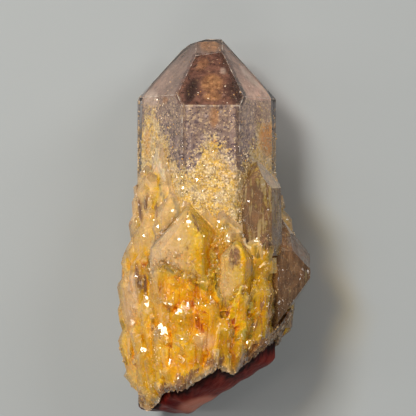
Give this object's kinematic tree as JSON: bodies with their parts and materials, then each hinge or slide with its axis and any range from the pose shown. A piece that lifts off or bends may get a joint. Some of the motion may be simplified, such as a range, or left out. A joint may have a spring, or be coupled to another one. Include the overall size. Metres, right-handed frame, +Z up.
{
  "type": "phantom amethyst crystal specimen",
  "caption": "Hexagonal quartz crystal with a clear pointed end, jacketed by smaller golden crystals, broken root, lying on its flat contact face.",
  "frame": {"origin": "below the middle of the bounding box, on the flat contact face that the specimen rests on", "axes": "+Y along the main crystal's c-axis towards its point, +Z up from the contact face"},
  "size_m": [0.0336, 0.0666, 0.026],
  "materials": {
    "amethyst": "polished",
    "golden_quartz": "gloss",
    "smoky_quartz": "polished",
    "phantom": "satin",
    "broken_root": "gloss"
  },
  "bodies": {
    "root": {"amethyst_crystal": "amethyst"}
  },
  "joints": []
}
